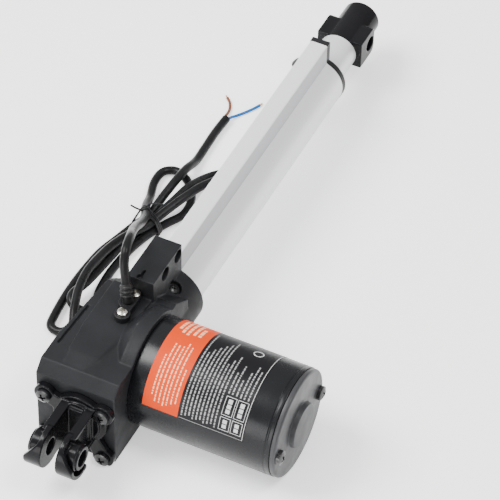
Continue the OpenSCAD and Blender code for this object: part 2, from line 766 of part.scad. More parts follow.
gear_housing();
rear_clevis();
clevis_screws();
neck_screws();
cable_clamp();
clamp_screws();
cable_grommet();
outer_tube();
front_cap();
rod_wiper();
tube_side_plug();
switch_board();
limit_switches();
bearing_outer_race();
bearing_balls();
worm_bushes();
motor_can();
motor_front_plate();
motor_magnets();
brush_plate();
brushes();
motor_end_cap();
motor_end_screws();
motor_rear_bush();
motor_label();
motor_shaft();
motor_pinion();
armature_core();
armature_winding();
commutator();
worm();
worm_gear();
lead_screw();
worm_wheel();
bearing_inner_race();
screw_nut();
screw_guide();
inner_tube();
drive_nut();
guide_collar();
rod_end();
cable();
cable_tie();
core_brown();
core_blue();
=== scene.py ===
import json
import math
import random

import bmesh
import bpy
from mathutils import Matrix, Vector


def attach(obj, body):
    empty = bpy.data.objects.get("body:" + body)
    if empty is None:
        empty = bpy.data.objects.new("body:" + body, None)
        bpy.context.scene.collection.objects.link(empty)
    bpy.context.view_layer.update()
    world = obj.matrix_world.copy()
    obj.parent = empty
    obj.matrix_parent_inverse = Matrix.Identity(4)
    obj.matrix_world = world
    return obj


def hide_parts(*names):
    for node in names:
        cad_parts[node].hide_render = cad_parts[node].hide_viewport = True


# Frame: +X along the screw to the rod end, +Z up, motor along -Y, rear pin hole at the origin.
# Lengths of the actuator are in millimetres. lathe_mesh(), hull_mesh(), extruded(), label_mesh() and
# curve_object() turn them into metres. The camera, the lights and the floor's size are in metres.

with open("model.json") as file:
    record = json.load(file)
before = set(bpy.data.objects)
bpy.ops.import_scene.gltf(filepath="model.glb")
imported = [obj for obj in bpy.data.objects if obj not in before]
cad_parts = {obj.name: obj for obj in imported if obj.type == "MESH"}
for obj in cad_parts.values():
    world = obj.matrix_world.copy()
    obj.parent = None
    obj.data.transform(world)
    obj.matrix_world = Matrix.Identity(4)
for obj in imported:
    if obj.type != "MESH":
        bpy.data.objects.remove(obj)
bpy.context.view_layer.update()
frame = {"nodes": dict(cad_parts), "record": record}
nodes = frame["nodes"]
random.seed(7)
MM = 0.001

MOTOR_X, MOTOR_Z, MOTOR_R = 80.7, 1.7, 34.9
FLOOR = -33.3

# ---------------------------------------------------------------- camera

CAMERA_AT = (-0.99532, -0.58377, 1.35107)
CAMERA_RIGHT = (0.4377, -0.8989, 0.0182)
CAMERA_UP = (0.6383, 0.3250, 0.6978)
CAMERA_BACK = (-0.6332, -0.2939, 0.7160)

cam_data = bpy.data.cameras.new("camera")
cam_data.lens = 215.1
cam_data.sensor_width = 36.0
cam_data.clip_end = 20.0
cam = bpy.data.objects.new("camera", cam_data)
bpy.context.scene.collection.objects.link(cam)
turned = Matrix((CAMERA_RIGHT, CAMERA_UP, CAMERA_BACK)).transposed().to_4x4()
cam.matrix_world = Matrix.Translation(CAMERA_AT) @ turned
bpy.context.scene.camera = cam

# ---------------------------------------------------------------- materials

WEAR_COLOUR = (0.3, 0.3, 0.31)
WEAR_EDGES = (0.53, 0.62)    # how pointed an edge is where wear starts, and where it is full
WEAR_PATCHES = 160
ROUGH_PATCHES = 2.3          # scale of the patches of roughness, as a multiple of the mottle's
GRAIN_DEPTH = 0.25 * MM


def shader(name, colour, rough, metal=0.0, specular=0.5, grain=0.0, grain_scale=1200,
           mottle=0.0, mottle_scale=45, rough_var=0.0, stretch=(1, 1, 1), wear=0.0):
    """Principled material. Grain is a fine bump, mottle a soft change of tone, rough_var a soft change
    of roughness, wear a lighter tone on edges, and stretch draws all of these out along an axis."""
    m = bpy.data.materials.new(name)
    m.use_nodes = True
    nt = m.node_tree
    b = nt.nodes["Principled BSDF"]
    b.inputs["Base Color"].default_value = (*colour, 1)
    b.inputs["Roughness"].default_value = rough
    b.inputs["Metallic"].default_value = metal
    b.inputs["Specular IOR Level"].default_value = specular
    coord = nt.nodes.new("ShaderNodeTexCoord")
    place = nt.nodes.new("ShaderNodeMapping")
    place.inputs["Scale"].default_value = stretch
    nt.links.new(coord.outputs["Object"], place.inputs["Vector"])

    def noise(scale, detail):
        n = nt.nodes.new("ShaderNodeTexNoise")
        n.inputs["Scale"].default_value = scale
        n.inputs["Detail"].default_value = detail
        nt.links.new(place.outputs["Vector"], n.inputs["Vector"])
        return n.outputs["Fac"]

    def spread(value, low, high, from_low=0.35, from_high=0.65):
        r = nt.nodes.new("ShaderNodeMapRange")
        r.inputs["From Min"].default_value = from_low
        r.inputs["From Max"].default_value = from_high
        r.inputs["To Min"].default_value = low
        r.inputs["To Max"].default_value = high
        nt.links.new(value, r.inputs["Value"])
        return r.outputs["Result"]

    def colour_mix(first, second):
        mix = nt.nodes.new("ShaderNodeMix")
        mix.data_type = "RGBA"
        mix.inputs["A"].default_value = (*first, 1)
        mix.inputs["B"].default_value = (*second, 1)
        return mix

    tone = None
    if mottle:
        darker = [c * (1 - mottle) for c in colour]
        lighter = [min(1, c * (1 + mottle)) for c in colour]
        mix = colour_mix(darker, lighter)
        nt.links.new(spread(noise(mottle_scale, 6), 0, 1), mix.inputs["Factor"])
        tone = mix.outputs["Result"]
    if wear:
        geo = nt.nodes.new("ShaderNodeNewGeometry")
        edge = nt.nodes.new("ShaderNodeMath")
        edge.operation = "MULTIPLY"
        nt.links.new(spread(geo.outputs["Pointiness"], 0, wear, *WEAR_EDGES), edge.inputs[0])
        nt.links.new(spread(noise(WEAR_PATCHES, 5), 0.2, 1), edge.inputs[1])
        mix = colour_mix(colour, WEAR_COLOUR)
        if tone:
            nt.links.new(tone, mix.inputs["A"])
        nt.links.new(edge.outputs["Value"], mix.inputs["Factor"])
        tone = mix.outputs["Result"]
    if tone:
        nt.links.new(tone, b.inputs["Base Color"])
    if rough_var:
        patches = noise(mottle_scale * ROUGH_PATCHES, 3)
        nt.links.new(spread(patches, rough - rough_var, rough + rough_var), b.inputs["Roughness"])
    if grain:
        bump = nt.nodes.new("ShaderNodeBump")
        bump.inputs["Strength"].default_value = grain
        bump.inputs["Distance"].default_value = GRAIN_DEPTH
        nt.links.new(noise(grain_scale, 3), bump.inputs["Height"])
        nt.links.new(bump.outputs["Normal"], b.inputs["Normal"])
    return m


LOOKS = {
    "cast_black": dict(colour=(0.0125, 0.013, 0.0145), rough=0.48, specular=0.13, grain=0.35,
                       grain_scale=900, mottle=0.14, rough_var=0.05, wear=0.3),
    "gloss_black": dict(colour=(0.005, 0.005, 0.006), rough=0.19, specular=0.13, grain=0.1,
                        grain_scale=500, mottle=0.15, rough_var=0.04, wear=0.06),
    "satin_black": dict(colour=(0.005, 0.0054, 0.0065), rough=0.27, specular=0.22, grain=0.03,
                        grain_scale=900, mottle=0.08, rough_var=0.03),
    "end_cap_grey": dict(colour=(0.03, 0.0305, 0.033), rough=0.4, specular=0.27, grain=0.1,
                         grain_scale=1400, mottle=0.06, rough_var=0.05, wear=0.15),
    "screw_black": dict(colour=(0.008, 0.008, 0.009), rough=0.25, specular=0.45, grain=0.1, mottle=0.2,
                        rough_var=0.06),
    "screw_steel": dict(colour=(0.015, 0.015, 0.016), rough=0.25, grain=0.08, mottle=0.15,
                        rough_var=0.06),
    "screw_bright": dict(colour=(0.5, 0.48, 0.43), rough=0.3, metal=1.0, grain=0.06, mottle=0.08,
                         rough_var=0.06),
    "plastic_black": dict(colour=(0.008, 0.008, 0.009), rough=0.42, specular=0.25, grain=0.15,
                          grain_scale=1300, mottle=0.12, rough_var=0.06),
    "rubber_black": dict(colour=(0.006, 0.006, 0.006), rough=0.45, specular=0.3, grain=0.15,
                         grain_scale=900, mottle=0.15, rough_var=0.06),
    "anodised_silver": dict(colour=(0.74, 0.745, 0.76), rough=0.34, metal=0.2, grain=0.04,
                            grain_scale=700, mottle=0.02, rough_var=0.03, stretch=(0.03, 1, 1)),
    # Painted shade: a darker copy of the anodised silver for the sides of the tube's switch channel
    "anodised_flank_shade": dict(colour=(0.42, 0.425, 0.44), rough=0.45, specular=0.15, grain=0.04,
                           grain_scale=700, mottle=0.02, rough_var=0.03, stretch=(0.03, 1, 1)),
    "anodised_light": dict(colour=(0.66, 0.665, 0.67), rough=0.34, metal=0.3, grain=0.04,
                           grain_scale=900, mottle=0.015, rough_var=0.03, stretch=(0.05, 1, 1)),
    "board_green": dict(colour=(0.02, 0.13, 0.06), rough=0.35, grain=0.1, mottle=0.2),
    "bearing_steel": dict(colour=(0.6, 0.61, 0.63), rough=0.18, metal=1.0, grain=0.04, mottle=0.05),
    "zinc_steel": dict(colour=(0.45, 0.46, 0.47), rough=0.35, metal=1.0, grain=0.1, mottle=0.1),
    "bronze": dict(colour=(0.6, 0.42, 0.2), rough=0.38, metal=1.0, grain=0.15, mottle=0.12),
    "ferrite": dict(colour=(0.05, 0.05, 0.055), rough=0.6, grain=0.2, mottle=0.15),
    "phenolic_brown": dict(colour=(0.14, 0.07, 0.035), rough=0.5, grain=0.15, mottle=0.25),
    "carbon": dict(colour=(0.03, 0.03, 0.03), rough=0.5, grain=0.2, mottle=0.15),
    "enamelled_copper": dict(colour=(0.55, 0.25, 0.12), rough=0.3, metal=1.0, grain=0.3, mottle=0.12),
    "copper": dict(colour=(0.75, 0.42, 0.27), rough=0.3, metal=1.0, grain=0.3, grain_scale=2500,
                   mottle=0.1),
    "nylon_white": dict(colour=(0.75, 0.74, 0.68), rough=0.4, grain=0.05, mottle=0.04),
    "acetal_tan": dict(colour=(0.6, 0.48, 0.25), rough=0.4, grain=0.05, mottle=0.06),
    "cable_black": dict(colour=(0.008, 0.008, 0.0085), rough=0.32, specular=0.12, grain=0.25,
                        grain_scale=420, mottle=0.25, mottle_scale=70, rough_var=0.05),
    "tie_black": dict(colour=(0.004, 0.004, 0.0045), rough=0.3, specular=0.3, grain=0.15, mottle=0.2),
    "core_brown": dict(colour=(0.15, 0.05, 0.025), rough=0.4, specular=0.3, grain=0.05, mottle=0.1),
    "core_blue": dict(colour=(0.0, 0.09, 0.3), rough=0.38, specular=0.3, grain=0.05, mottle=0.08),
    "label_orange": dict(colour=(0.58, 0.04, 0.0), rough=0.5, specular=0.12, grain=0.03, mottle=0.02),
    "label_black": dict(colour=(0.004, 0.004, 0.005), rough=0.36, specular=0.18, grain=0.03,
                        mottle=0.08),
    "label_pale": dict(colour=(0.9, 0.42, 0.24), rough=0.4, specular=0.12, grain=0.03, mottle=0.04),
    "label_grey": dict(colour=(0.27, 0.27, 0.27), rough=0.4, specular=0.2, grain=0.03, mottle=0.1),
    "label_white": dict(colour=(0.5, 0.5, 0.5), rough=0.4, specular=0.2, grain=0.03, mottle=0.04),
}
M = {name: shader(name, **look) for name, look in LOOKS.items()}
# The printed label has one slot in the record, and its faces take their own colours further down
M["label_print"] = M["label_orange"]

slot_of = {s["node"]: s["material_slot"] for s in frame["record"]["subparts"]}
for node_name, node_object in nodes.items():
    node_object.data.materials.clear()
    node_object.data.materials.append(M[slot_of[node_name]])


# ---------------------------------------------------------------- mesh helpers

def mesh_object(name, mesh, body, slot, materials=None, sharp=35):
    """Links a mesh whose vertices are in metres, shades it and hangs it on its body."""
    for m in materials or [M[slot]]:
        mesh.materials.append(m)
    mesh.shade_smooth()
    mesh.set_sharp_from_angle(angle=math.radians(sharp))
    o = bpy.data.objects.new(name, mesh)
    bpy.context.scene.collection.objects.link(o)
    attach(o, body)
    return o


def saved_mesh(bm, name):
    """Turns the faces of bm outwards and saves it as a mesh."""
    bmesh.ops.recalc_face_normals(bm, faces=bm.faces)
    mesh = bpy.data.meshes.new(name)
    bm.to_mesh(mesh)
    bm.free()
    return mesh


def lathe_mesh(name, outline, place, segments):
    """Turns an outline of (radius, height) about the Z of place. Millimetres in, metres out."""
    bm = bmesh.new()
    angles = [2 * math.pi * i / segments for i in range(segments)]
    rings = []
    for r, h in outline:
        around = [(r * math.cos(a), r * math.sin(a), h) for a in angles] if r else [(0, 0, h)]
        rings.append([bm.verts.new(place @ Vector(p)) for p in around])
    pairs = list(zip(rings, rings[1:]))
    if len(rings[0]) > 1 and len(rings[-1]) > 1:
        pairs.append((rings[-1], rings[0]))
    for a, b in pairs:
        for i in range(segments):
            j = (i + 1) % segments
            if len(a) == 1:
                bm.faces.new((a[0], b[j], b[i]))
            elif len(b) == 1:
                bm.faces.new((a[i], a[j], b[0]))
            else:
                bm.faces.new((a[i], a[j], b[j], b[i]))
    bmesh.ops.scale(bm, vec=(MM, MM, MM), verts=bm.verts)
    return saved_mesh(bm, name)


def rounded(outline, r, steps):
    """Rounds the inner corners of an open outline, each cut back by r."""
    out = [outline[0]]
    for p, q, s in zip(outline, outline[1:], outline[2:]):
        p, q, s = Vector(p), Vector(q), Vector(s)
        a, b = (p - q), (s - q)
        cut = min(r, a.length * 0.45, b.length * 0.45)
        u, v = q + a.normalized() * cut, q + b.normalized() * cut
        for i in range(steps + 1):
            t = i / steps
            out.append(tuple(u * (1 - t) ** 2 + q * 2 * t * (1 - t) + v * t * t))
    out.append(outline[-1])
    return out


def evaluated_copy(o, name):
    """Mesh of an object with its modifiers or its bevel applied."""
    graph = bpy.context.evaluated_depsgraph_get()
    graph.update()
    mesh = bpy.data.meshes.new_from_object(o.evaluated_get(graph))
    mesh.name = name
    return mesh


def cast(name, meshes, voxel, passes, body, slot, node_name):
    """One cast piece: the meshes melt into one skin with softly rounded edges and inner corners. A
    larger voxel, in mm, and more passes of smoothing round them more."""
    bm = bmesh.new()
    for m in meshes:
        bm.from_mesh(m)
    mesh = bpy.data.meshes.new(name + "_rough")
    bm.to_mesh(mesh)
    bm.free()
    o = bpy.data.objects.new(name + "_rough", mesh)
    bpy.context.scene.collection.objects.link(o)
    remesh = o.modifiers.new("remesh", "REMESH")
    remesh.mode = "VOXEL"
    remesh.voxel_size = voxel * MM
    smooth = o.modifiers.new("smooth", "SMOOTH")
    smooth.factor = 0.5
    smooth.iterations = passes
    thin = o.modifiers.new("thin", "DECIMATE")
    thin.ratio = 0.4
    done = evaluated_copy(o, name)
    bpy.data.objects.remove(o)
    done.materials.clear()
    piece = mesh_object(name, done, body, slot, sharp=80)
    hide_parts(node_name)


def hull_mesh(name, points):
    """Smallest solid round the points, given in mm."""
    bm = bmesh.new()
    corners = [bm.verts.new(Vector(p) * MM) for p in points]
    found = bmesh.ops.convex_hull(bm, input=corners)
    inside = [v for v in found["geom_interior"] if isinstance(v, bmesh.types.BMVert)]
    bmesh.ops.delete(bm, geom=inside, context="VERTS")
    return saved_mesh(bm, name)


def extruded(name, outlines, x0, x1):
    """Mesh of flat outlines in (Y, Z), the later ones holes in the first, extruded along X."""
    c = bpy.data.curves.new(name, "CURVE")
    c.dimensions = "2D"
    c.fill_mode = "BOTH"
    c.extrude = (x1 - x0) / 2 * MM
    for line in outlines:
        s = c.splines.new("POLY")
        s.points.add(len(line) - 1)
        for p, (y, z) in zip(s.points, line):
            p.co = (y * MM, z * MM, 0, 1)
        s.use_cyclic_u = True
    o = bpy.data.objects.new(name, c)
    bpy.context.scene.collection.objects.link(o)
    mesh = evaluated_copy(o, name)
    bpy.data.objects.remove(o)
    # The curve lies in X and Y and is extruded along Z: turn these to Y, Z and X
    mesh.transform(Matrix(((0, 0, 1, (x0 + x1) / 2 * MM), (1, 0, 0, 0), (0, 1, 0, 0), (0, 0, 0, 1))))
    bm = bmesh.new()
    bm.from_mesh(mesh)
    bmesh.ops.remove_doubles(bm, verts=bm.verts, dist=1e-3 * MM)
    bmesh.ops.recalc_face_normals(bm, faces=bm.faces)
    bm.to_mesh(mesh)
    bm.free()
    return mesh


def smooth_line(points, per):
    """Smooth curve through the given points, with per steps from each to the next."""
    p = [Vector(q) for q in points]
    p = [2 * p[0] - p[1]] + p + [2 * p[-1] - p[-2]]
    out = []
    for a, b, c, d in zip(p, p[1:], p[2:], p[3:]):
        for i in range(per):
            t = i / per
            out.append(0.5 * (2 * b + (c - a) * t + (2 * a - 5 * b + 4 * c - d) * t * t
                              + (3 * b - a - 3 * c + d) * t ** 3))
    out.append(p[-2])
    return out


def curve_object(name, points, radius, body, slot, material=None, sides=3):
    """Round wire along points in mm. More sides make it rounder."""
    c = bpy.data.curves.new(name, "CURVE")
    c.dimensions = "3D"
    c.bevel_depth = radius * MM
    c.bevel_resolution = sides
    c.use_fill_caps = True
    s = c.splines.new("POLY")
    s.points.add(len(points) - 1)
    for q, p in zip(s.points, points):
        q.co = (*(Vector(p) * MM), 1)
    s.use_smooth = True
    c.materials.append(material or M[slot])
    o = bpy.data.objects.new(name, c)
    bpy.context.scene.collection.objects.link(o)
    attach(o, body)
    return o


# ---------------------------------------------------------------- cable

# Middle lines of the sheath and of the two cores: the sheath's points are those of the CAD
CABLE = [
    (99, 5.5, 43), (101, 7.5, 51), (104, 9.5, 58.5), (109, 11, 63.5), (116, 13, 64), (124, 15.5, 61),
    (135.5, 20.5, 52), (147, 25, 42.5), (157.5, 29.5, 32.5), (168, 33.5, 22.5), (178.5, 38, 12),
    (189.5, 42.5, 1.5), (200.5, 47, -8), (212.5, 52, -16), (225, 58, -22.5), (238.5, 62, -28.5),
    (253, 66.5, -30), (263.5, 66.5, -30), (268.5, 62, -30), (269, 55.5, -30), (262.5, 45.5, -30),
    (250, 37.5, -30), (235.5, 36, -30), (223, 42, -30), (210, 47.5, -30), (195, 51.5, -30),
    (179.5, 53.5, -30), (164.5, 54, -30), (149, 52.5, -30), (136.5, 49, -30), (130.5, 51, -29.5),
    (128, 56.5, -27.5), (130, 62, -25.5), (136, 64, -24.5), (147.5, 61, -24.5), (162.5, 59, -24.5),
    (178, 58, -25.5), (193, 58, -28), (208, 54.5, -30), (223, 50.5, -28.5), (237, 45.5, -25),
    (252, 41.5, -23), (265, 39, -26.5), (275.5, 36, -30), (279.5, 31.5, -29.5), (279, 26, -26.5),
    (274.5, 23, -23.5), (267, 25.5, -20.5), (253.5, 32, -18.5), (239, 37.5, -18.5), (225, 43.5, -21),
    (211, 49.5, -24), (197, 55.5, -22.5), (182.5, 59.5, -20.5), (167.5, 61.5, -19), (152, 62, -18),
    (136.5, 60, -19), (122, 55.5, -22), (113, 52, -25.5), (108, 55, -28.5), (107, 60.5, -30),
    (110, 66, -30), (119.5, 68, -30), (135, 69.5, -30), (150.5, 70, -30), (165.5, 69.5, -30),
    (181, 68, -30), (196, 64, -30), (211, 60, -30), (226, 55.5, -30), (240.5, 53.5, -26),
    (255.5, 51.5, -23), (269.5, 51, -24.5), (284, 51, -29.5), (299, 51.5, -30), (314.5, 52, -30),
    (330, 51.5, -30),
]
BROWN = [(328, 52.6, -30.2), (333, 53.4, -30.8), (338, 53.8, -31.8), (343, 55, -32.2),
         (348, 57.8, -32.2), (352.5, 62.6, -32.2)]
BLUE = [(328, 51.2, -30.2), (333, 49.6, -30.8), (338, 47, -31.8), (344, 43.4, -32.2),
        (350, 40, -32.2), (356.5, 37.1, -32.2)]
CABLE_D = 5.8
CORE_R, COPPER_R = 0.98, 0.6

# Places of the five strands in the tie, in (Y, Z)
STRANDS = [(53.2, -17.3), (45.4, -30.0), (52.6, -29.3), (47.8, -23.1), (58.8, -30.0)]
TIE_R = 0.62
TIE_FROM, TIE_WIDTH, TIE_TURNS = 212.6, 4.8, 3
TIE_REACH = 3.45       # from the middle of a strand to the middle of the wire
TIE_START = [(208.5, 60.5, -8.5), (209.6, 57.6, -10.6), (211.4, 55.0, -12.9)]
TIE_END = [(219.4, 51.4, -12.6), (222.6, 47.8, -14.5), (226.6, 44.5, -17.5)]

cable_line = smooth_line(CABLE, 8)
cable = curve_object("cable_sheath", cable_line, CABLE_D / 2, "housing", "cable_black", sides=5)
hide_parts("cable")


def core(name, route, slot, node_name):
    """One insulated core, and the bared copper that its last steps end in."""
    line = smooth_line(route, 6)
    skin = curve_object(name, line[:-2], CORE_R, "housing", slot)
    bare = curve_object(name + "_bare_end", line[-4:], COPPER_R, "housing", slot, M["copper"])
    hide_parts(node_name)
    return [skin, bare]


brown = core("brown_core", BROWN, "core_brown", "core_brown")
blue = core("blue_core", BLUE, "core_blue", "core_blue")


def half_hull(points):
    """Points of a sorted list that its hull turns round on one side, without the last one."""
    out = []
    for x, y in points:
        while len(out) > 1:
            (x0, y0), (x1, y1) = out[-2:]
            if (x1 - x0) * (y - y0) - (y1 - y0) * (x - x0) > 0:
                break
            out.pop()
        out.append((x, y))
    return out[:-1]


def hull_2d(points):
    """Smallest outline round flat points."""
    points = sorted(points)
    return half_hull(points) + half_hull(points[::-1])


def tie_line():
    """A wire wound round the five strands, with both its ends bent outwards."""
    angles = [2 * math.pi * i / 24 for i in range(24)]
    ring = hull_2d([(y + TIE_REACH * math.cos(a), z + TIE_REACH * math.sin(a))
                    for y, z in STRANDS for a in angles])
    top = max(range(len(ring)), key=lambda i: ring[i][1])
    ring = ring[top:] + ring[:top]
    lowest = FLOOR + TIE_R + 0.04
    total = TIE_TURNS * len(ring)
    line = []
    for i in range(total + 1):
        y, z = ring[i % len(ring)]
        line.append((TIE_FROM + TIE_WIDTH * i / total, y, max(z, lowest)))
    return TIE_START + line + TIE_END


tie = curve_object("twist_tie", tie_line(), TIE_R, "housing", "tie_black")
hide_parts("cable_tie")

# ---------------------------------------------------------------- castings

# The raised land on the top of the gearbox runs out to the rear in a ramp, with a bevel along its
# motor side. Its root lies RAMP_DEPTH down in the casting.
GEARBOX_TOP, LAND_TOP, RAMP_DEPTH = 29.0, 30.6, 4
RAMP_FOOT = [(38.6, 17), (38.6, 3), (51, -2.6), (73, -7.2)]
RAMP_CREST = [(50, 19), (50, 0), (72, -4.5), (72, 14)]

crest = [(x, y, LAND_TOP) for x, y in RAMP_CREST]
foot = [(x, y, GEARBOX_TOP) for x, y in RAMP_FOOT]
root = [(x, y, GEARBOX_TOP - RAMP_DEPTH) for x, y in RAMP_CREST + RAMP_FOOT]
ramp = hull_mesh("land_ramp", crest + foot + root)

cast("gearbox_casting", [nodes["gear_housing"].data, ramp], 0.5, 5, "housing", "cast_black", "gear_housing")
cast("clevis_casting", [nodes["rear_clevis"].data], 0.4, 7, "housing", "gloss_black", "rear_clevis")
cast("rod_eye", [nodes["rod_end"].data], 0.45, 7, "rod", "gloss_black", "rod_end")
cast("clamp_casting", [nodes["cable_clamp"].data], 0.3, 5, "housing", "plastic_black", "cable_clamp")

# Strain relief: a tapered stem with three ribs, standing on the clamp where the cable comes out
along_exit = (Matrix.Translation((96.6, 3.2, 33.6)) @ Matrix.Rotation(math.radians(45), 4, "Z")
              @ Matrix.Rotation(math.radians(20), 4, "Y"))
stem = rounded([(2.95, 0.5), (3.75, 0.5), (3.6, 4.4),
                (4.4, 4.6), (4.4, 6.2), (3.35, 6.5), (3.3, 7.3),
                (4.25, 7.5), (4.2, 9.0), (3.25, 9.3), (3.2, 10.1),
                (4.05, 10.3), (3.95, 11.7), (3.2, 12.0), (3.1, 13.4), (2.95, 13.4)], 0.4, 3)
grommet_mesh = lathe_mesh("strain_relief", stem, along_exit, 56)
grommet = mesh_object("strain_relief", grommet_mesh, "housing", "rubber_black")
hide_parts("cable_grommet")

# ---------------------------------------------------------------- tube

TUBE_FROM, TUBE_TO = 110.05, 362.6
TUBE_R, BORE_R = 18.65, 16.05
RIDGE, RIDGE_TOP = 6.1, 33.0           # outside of the switch channel: half width and top
CORNER_R, FILLET_R = 0.9, 1.2          # its top corners, and its feet on the round part
CHANNEL, CHANNEL_LOW, CHANNEL_TOP = 4.1, 19.0, 31.0     # its inside: half width, floor and ceiling
SLOT = 2.5                             # half width of the slot from the bore up into it
# The sides of the channel take a darker material: painted shade
SHADED_FLANK = 1                              # material slot of its sides


def arc(cy, cz, r, start, stop, steps):
    """Points on an arc from one angle to another, both in radians."""
    turns = [start + (stop - start) * i / steps for i in range(steps + 1)]
    return [(cy + r * math.cos(a), cz + r * math.sin(a)) for a in turns]


def tube_outline():
    """Outside of the extrusion, in (Y, Z): a round tube that runs into a flat channel."""
    side = RIDGE + FILLET_R
    foot = math.sqrt(TUBE_R ** 2 - side ** 2)
    first = math.atan2(foot, side)
    corner_y, corner_z = RIDGE - CORNER_R, RIDGE_TOP - CORNER_R
    fillet_z = foot + 1.4
    up, flat, bend = math.pi / 2, math.pi, 0.9
    return (arc(0, 0, TUBE_R, first, -math.pi - first, 84)
            + arc(-side, fillet_z, FILLET_R, -bend, 0.0, 3)[1:]
            + arc(-corner_y, corner_z, CORNER_R, flat, up, 5)
            + arc(corner_y, corner_z, CORNER_R, up, 0.0, 5)
            + arc(side, fillet_z, FILLET_R, -flat, -flat + bend, 3)[:-1])


def tube_bore():
    """Inside of the extrusion: the bore, the slot above it and the switch channel."""
    gap = math.asin(SLOT / BORE_R)
    first = math.pi / 2 - gap
    bore = arc(0, 0, BORE_R, first, first - (2 * math.pi - 2 * gap), 80)
    slot_foot = math.sqrt(BORE_R ** 2 - SLOT ** 2) + 0.1
    return bore + [(-SLOT, CHANNEL_LOW), (-CHANNEL, CHANNEL_LOW), (-CHANNEL, CHANNEL_TOP),
                   (CHANNEL, CHANNEL_TOP), (CHANNEL, CHANNEL_LOW), (SLOT, CHANNEL_LOW), (SLOT, slot_foot)]


tube_mesh = extruded("tube_extrusion", [tube_outline(), tube_bore()], TUBE_FROM, TUBE_TO)
tube = mesh_object("tube_extrusion", tube_mesh, "housing", "anodised_silver", sharp=24)
# The sides of the channel take a darker, duller copy of the anodised silver: painted shade on them
tube.data.materials.append(M["anodised_flank_shade"])
for face in tube.data.polygons:
    at_side = abs(abs(face.center.y) - RIDGE * MM) < 0.6 * MM
    if at_side and face.center.z > 0 and abs(face.normal.y) > 0.9:
        face.material_index = SHADED_FLANK
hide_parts("outer_tube")

# Domed plug on the left shoulder of the tube, just behind the cap
on_shoulder = (Matrix.Translation((357.6, 0, 0)) @ Matrix.Rotation(math.radians(-42), 4, "X")
               @ Matrix.Translation((0, 0, TUBE_R - 0.5)))
dome = rounded([(4.1, 0.0), (4.1, 2.0), (3.1, 3.1), (0.0, 3.5)], 0.5, 3)
plug_mesh = lathe_mesh("tube_plug", dome, on_shoulder, 40)
plug = mesh_object("tube_plug", plug_mesh, "housing", "plastic_black")
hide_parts("tube_side_plug")

# ---------------------------------------------------------------- motor

CAN_FROM, CAN_TO = 21.7, 116.05        # along the motor, measured from Y = 0
CAN_INSIDE = 32.95
GROOVE_R = 34.45                       # bottom of the groove near the end of the can
PLATE_FROM, PLATE_FACE, PLATE_TOP = 116.15, 119.65, 123.05
PLATE_R = 34.55

along_motor = Matrix.Translation((MOTOR_X, 0, MOTOR_Z)) @ Matrix.Rotation(math.pi / 2, 4, "X")

can_outline = rounded([(CAN_INSIDE, CAN_FROM), (MOTOR_R, CAN_FROM),
                       (MOTOR_R, 112.2), (GROOVE_R, 112.5), (GROOVE_R, 113.3), (MOTOR_R, 113.6),
                       (MOTOR_R, CAN_TO), (CAN_INSIDE, CAN_TO)], 0.35, 3)
can_mesh = lathe_mesh("motor_body", can_outline, along_motor, 160)
can = mesh_object("motor_body", can_mesh, "housing", "satin_black")
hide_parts("motor_can")

# The end plate has a raised round centre and a lip that stands in the can
plate_outline = rounded([(0.0, PLATE_TOP), (14.3, PLATE_TOP), (14.75, PLATE_FACE), (33.2, PLATE_FACE),
                         (PLATE_R, 118.9), (PLATE_R, PLATE_FROM), (32.85, PLATE_FROM), (32.85, 113.2),
                         (6.05, 113.2), (6.05, 117.65), (0.0, 117.65)], 0.7, 4)
plate_mesh = lathe_mesh("motor_end_plate", plate_outline, along_motor, 160)
plate = mesh_object("motor_end_plate", plate_mesh, "housing", "end_cap_grey", sharp=50)
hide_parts("motor_end_cap")

# ---------------------------------------------------------------- label

LABEL_R = 35.02
LABEL_FROM, LABEL_TO = 31.7, 98.7      # along the motor, measured from Y = 0
LABEL_LOW, LABEL_HIGH = 167.0, -13.0   # degrees round the motor, from +X towards +Z
LABEL_FOLD = 0.1                       # depth of the border folded in to the can
ORANGE_TO = 55.5                       # orange up to here along the motor, black past it
STEP = 0.3                             # side of one printed dot
ORANGE, BLACK, PALE, GREY, WHITE = range(5)

# Rows of print as (place along the motor, start, end), the last two measured round the motor
HEADLINES = ((34.6, 57, 71), (37.6, 54, 74), (41.0, 53, 76), (44.6, 55, 72), (48.0, 55, 66))
NOTES = ((36.4, 9, 36), (39.0, 5, 44), (41.6, 5, 44), (44.2, 4, 45), (46.8, 5, 47), (49.4, 7, 45),
         (52.0, 8, 30))
SIDE_NOTES = ((81.8, 25.8, 41.0), (84.3, 25.8, 47.0), (86.8, 25.8, 37.0), (89.6, 25.4, 43.0),
              (92.1, 25.4, 49.0), (94.6, 25.4, 46.0))
BOLD, SMALL = 1.9, 0.9                 # height of a row of print

BOX_ROWS = (81.8, 89.6)                # four boxes: two rows of two
BOX_SPANS = ((3.0, 11.4, 2), (12.6, 24.2, 3))      # start, end, blocks in the box
BOX_WIDE, BOX_LINE = 6.9, 0.3

# Plain ring: its centre along and round the motor, its radius, and half the width of its line
RING_AT, RING_ARC, RING_R, RING_LINE = 86.0, 60.5, 3.0, 0.35


def dashes(start, stop, low, high, gap=0.6):
    """Random short strokes between start and stop, as (from, to)."""
    out, at = [], start
    while at < stop - low:
        end = min(stop, at + random.uniform(low, high))
        out.append((at, end))
        at = end + gap
    return out


def printed_row(colour, y, height, start, stop, low, high):
    """Marks of one row of print, whose strokes are low to high long."""
    return [(colour, y, y + height, a, b) for a, b in dashes(start, stop, low, high)]


def printed_box(y, start, stop, blocks):
    """Marks of a framed box with short blocks side by side in it."""
    far = y + BOX_WIDE
    marks = [(WHITE, y, y + BOX_LINE, start, stop), (WHITE, far - BOX_LINE, far, start, stop),
             (WHITE, y, far, start, start + BOX_LINE), (WHITE, y, far, stop - BOX_LINE, stop)]
    step = (stop - start - 2.4) / blocks
    for k in range(blocks):
        marks.append((WHITE, y + 2.1, far - 2.1, start + 1.5 + k * step, start + 0.9 + (k + 1) * step))
    return marks


